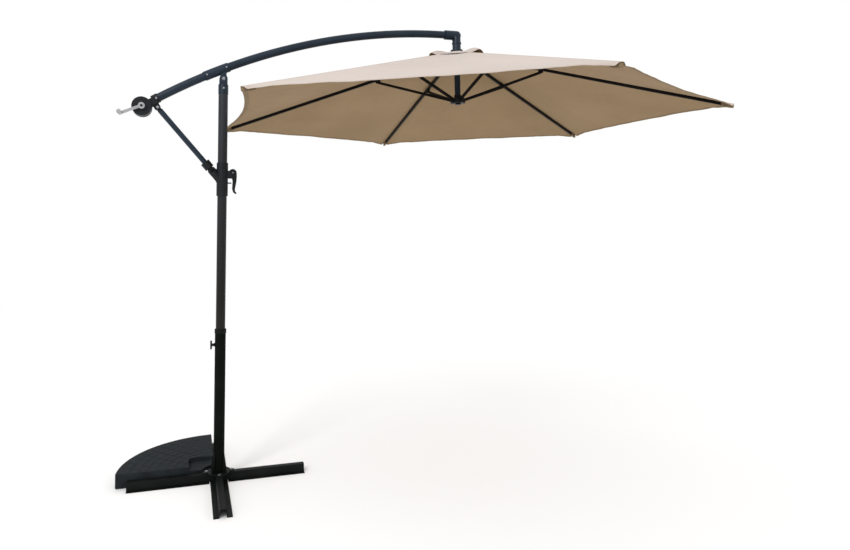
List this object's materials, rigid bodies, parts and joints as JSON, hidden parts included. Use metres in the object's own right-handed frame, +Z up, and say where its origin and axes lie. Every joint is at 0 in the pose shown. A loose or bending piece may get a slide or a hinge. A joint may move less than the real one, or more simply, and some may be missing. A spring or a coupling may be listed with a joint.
{
  "type": "cantilever parasol",
  "caption": "Free-standing cantilever parasol: weighted cross base, swivelling post, curved tilting arm with a crank winch, and a folding six-rib fabric canopy.",
  "frame": {"origin": "on the ground under the middle of the post, where the two base bars cross", "axes": "+Z up along the post, +X from the post towards the canopy along the arm, +Y to the side"},
  "size_m": [3.1198, 2.9912, 2.4807],
  "materials": {
    "post_coat": "satin",
    "arm_coat": "satin",
    "black_plastic": "matte",
    "rib_coat": "satin",
    "crank_metal": "satin",
    "fastener_steel": "satin",
    "weight_concrete": "matte",
    "canopy_cloth": "matte",
    "cord": "matte"
  },
  "bodies": {
    "base": {"base_bar_long": "post_coat", "base_bar_cross": "post_coat", "foot_plate": "post_coat", "base_bolts": "fastener_steel", "base_nuts": "fastener_steel", "lower_post": "post_coat", "post_collar": "post_coat", "post_bush": "black_plastic", "base_weight": "weight_concrete"},
    "thumbscrew": {"thumbscrew": "black_plastic"},
    "mast": {"upper_post": "post_coat", "post_head": "arm_coat", "head_bolt": "fastener_steel", "hinge_bolt": "fastener_steel"},
    "slider": {"slider_body": "black_plastic", "slider_liner": "black_plastic", "lever_pin": "fastener_steel", "slider_pin": "post_coat"},
    "lock_lever": {"lock_lever": "black_plastic"},
    "strut": {"strut_tube": "arm_coat", "strut_eye": "black_plastic", "strut_socket": "black_plastic"},
    "arm": {"arm_tube": "arm_coat", "arm_saddle": "arm_coat", "saddle_bolts": "fastener_steel", "strut_bolt": "fastener_steel", "winch_bracket": "black_plastic", "bracket_bolt": "fastener_steel", "winch_cover_near": "black_plastic", "winch_cover_far": "black_plastic", "elbow": "arm_coat", "pulley_pin": "fastener_steel", "centre_tube": "arm_coat", "crown_hub": "black_plastic", "crown_pins": "fastener_steel", "lift_cord": "cord"},
    "crank": {"cord_spool": "black_plastic", "crank_arm": "crank_metal"},
    "crank_knob": {"crank_knob": "crank_metal"},
    "pulley": {"elbow_pulley": "black_plastic"},
    "rib_1": {"rib_1": "rib_coat", "canopy_1": "canopy_cloth"},
    "stretcher_1": {"stretcher_1": "rib_coat"},
    "rib_2": {"rib_2": "rib_coat", "canopy_2": "canopy_cloth"},
    "stretcher_2": {"stretcher_2": "rib_coat"},
    "rib_3": {"rib_3": "rib_coat", "canopy_3": "canopy_cloth"},
    "stretcher_3": {"stretcher_3": "rib_coat"},
    "rib_4": {"rib_4": "rib_coat", "canopy_4": "canopy_cloth"},
    "stretcher_4": {"stretcher_4": "rib_coat"},
    "rib_5": {"rib_5": "rib_coat", "canopy_5": "canopy_cloth"},
    "stretcher_5": {"stretcher_5": "rib_coat"},
    "rib_6": {"rib_6": "rib_coat", "canopy_6": "canopy_cloth"},
    "stretcher_6": {"stretcher_6": "rib_coat"},
    "runner": {"runner_hub": "black_plastic", "runner_pins": "fastener_steel"}
  },
  "joints": [
    {"name": "mast_swivel", "type": "hinge", "parent": "base", "child": "mast", "pos_m": [0, 0, 0.6], "axis": [0, 0, 1], "range_deg": [-180, 180]},
    {"name": "thumbscrew_turn", "type": "hinge", "parent": "base", "child": "thumbscrew", "pos_m": [-0.045, 0, 0.711], "axis": [1, 0, 0], "range_deg": [0, 720]},
    {"name": "arm_tilt", "type": "hinge", "parent": "mast", "child": "arm", "pos_m": [0, 0, 2.092], "axis": [0, -1, 0], "range_deg": [-8, 10]},
    {"name": "strut_swing", "type": "hinge", "parent": "arm", "child": "strut", "pos_m": [-0.317, 0, 1.923], "axis": [0, -1, 0], "range_deg": [-16, 13]},
    {"name": "slider_travel", "type": "slide", "parent": "mast", "child": "slider", "axis": [0, 0, 1], "range_m": [-0.081, 0.065]},
    {"name": "lock_lever_turn", "type": "hinge", "parent": "slider", "child": "lock_lever", "pos_m": [0.052, 0, 1.608], "axis": [0, -1, 0], "range_deg": [0, 75]},
    {"name": "crank_turn", "type": "hinge", "parent": "arm", "child": "crank", "pos_m": [-0.39, 0, 1.921], "axis": [0, 1, 0], "range_deg": [-5, 1972]},
    {"name": "knob_spin", "type": "hinge", "parent": "crank", "child": "crank_knob", "pos_m": [-0.48684, -0.044, 1.87789], "axis": [0, 1, 0], "continuous": true},
    {"name": "pulley_turn", "type": "hinge", "parent": "arm", "child": "pulley", "pos_m": [1.29152, 0, 2.4391], "axis": [0, 1, 0], "range_deg": [-5, 2628]},
    {"name": "rib_1_fold", "type": "hinge", "parent": "arm", "child": "rib_1", "pos_m": [1.28417, -0.015, 2.34314], "axis": [0.4995, -0.866, 0.0218], "range_deg": [0, 70], "deforming": ["canopy_1", "canopy_2", "canopy_3", "canopy_4", "canopy_5", "canopy_6"]},
    {"name": "stretcher_1_fold", "type": "hinge", "parent": "rib_1", "child": "stretcher_1", "pos_m": [0.9044, -0.23784, 2.19258], "axis": [0.4995, -0.866, 0.0218], "range_deg": [-142, 2]},
    {"name": "rib_2_fold", "type": "hinge", "parent": "arm", "child": "rib_2", "pos_m": [1.31013, -0.03, 2.34428], "axis": [0.999, 0, 0.0436], "range_deg": [-1, 71]},
    {"name": "stretcher_2_fold", "type": "hinge", "parent": "rib_2", "child": "stretcher_2", "pos_m": [1.31597, -0.47568, 2.21055], "axis": [0.999, 0, 0.0436], "range_deg": [-142, 2]},
    {"name": "rib_3_fold", "type": "hinge", "parent": "arm", "child": "rib_3", "pos_m": [1.33608, -0.015, 2.34541], "axis": [0.4995, 0.866, 0.0218], "range_deg": [-1, 71]},
    {"name": "stretcher_3_fold", "type": "hinge", "parent": "rib_3", "child": "stretcher_3", "pos_m": [1.72752, -0.23784, 2.22852], "axis": [0.4995, 0.866, 0.0218], "range_deg": [-142, 2]},
    {"name": "rib_4_fold", "type": "hinge", "parent": "arm", "child": "rib_4", "pos_m": [1.33608, 0.015, 2.34541], "axis": [-0.4995, 0.866, -0.0218], "range_deg": [-1, 71]},
    {"name": "stretcher_4_fold", "type": "hinge", "parent": "rib_4", "child": "stretcher_4", "pos_m": [1.72752, 0.23784, 2.22852], "axis": [-0.4995, 0.866, -0.0218], "range_deg": [-142, 2]},
    {"name": "rib_5_fold", "type": "hinge", "parent": "arm", "child": "rib_5", "pos_m": [1.31013, 0.03, 2.34428], "axis": [-0.999, 0, -0.0436], "range_deg": [-1, 71]},
    {"name": "stretcher_5_fold", "type": "hinge", "parent": "rib_5", "child": "stretcher_5", "pos_m": [1.31597, 0.47568, 2.21055], "axis": [-0.999, 0, -0.0436], "range_deg": [-142, 2]},
    {"name": "rib_6_fold", "type": "hinge", "parent": "arm", "child": "rib_6", "pos_m": [1.28417, 0.015, 2.34314], "axis": [-0.4995, -0.866, -0.0218], "range_deg": [-1, 71]},
    {"name": "stretcher_6_fold", "type": "hinge", "parent": "rib_6", "child": "stretcher_6", "pos_m": [0.9044, 0.23784, 2.19258], "axis": [-0.4995, -0.866, -0.0218], "range_deg": [-142, 2]},
    {"name": "runner_hang", "type": "hinge", "parent": "stretcher_1", "child": "runner", "pos_m": [1.29585, -0.015, 2.07569], "axis": [0.4995, -0.866, 0.0218], "range_deg": [-1, 71]}
  ],
  "couplings": [
    {"joint": "strut_swing", "follows": "arm_tilt", "ratio": -1.5612},
    {"joint": "slider_travel", "follows": "arm_tilt", "m_per_rad": -0.45929},
    {"joint": "stretcher_1_fold", "follows": "rib_1_fold", "ratio": -2},
    {"joint": "rib_2_fold", "follows": "rib_1_fold", "ratio": 1},
    {"joint": "stretcher_2_fold", "follows": "rib_1_fold", "ratio": -2},
    {"joint": "rib_3_fold", "follows": "rib_1_fold", "ratio": 1},
    {"joint": "stretcher_3_fold", "follows": "rib_1_fold", "ratio": -2},
    {"joint": "rib_4_fold", "follows": "rib_1_fold", "ratio": 1},
    {"joint": "stretcher_4_fold", "follows": "rib_1_fold", "ratio": -2},
    {"joint": "rib_5_fold", "follows": "rib_1_fold", "ratio": 1},
    {"joint": "stretcher_5_fold", "follows": "rib_1_fold", "ratio": -2},
    {"joint": "rib_6_fold", "follows": "rib_1_fold", "ratio": 1},
    {"joint": "stretcher_6_fold", "follows": "rib_1_fold", "ratio": -2},
    {"joint": "runner_hang", "follows": "rib_1_fold", "ratio": 1},
    {"joint": "crank_turn", "follows": "rib_1_fold", "ratio": 28.096},
    {"joint": "pulley_turn", "follows": "rib_1_fold", "ratio": 37.468}
  ]
}
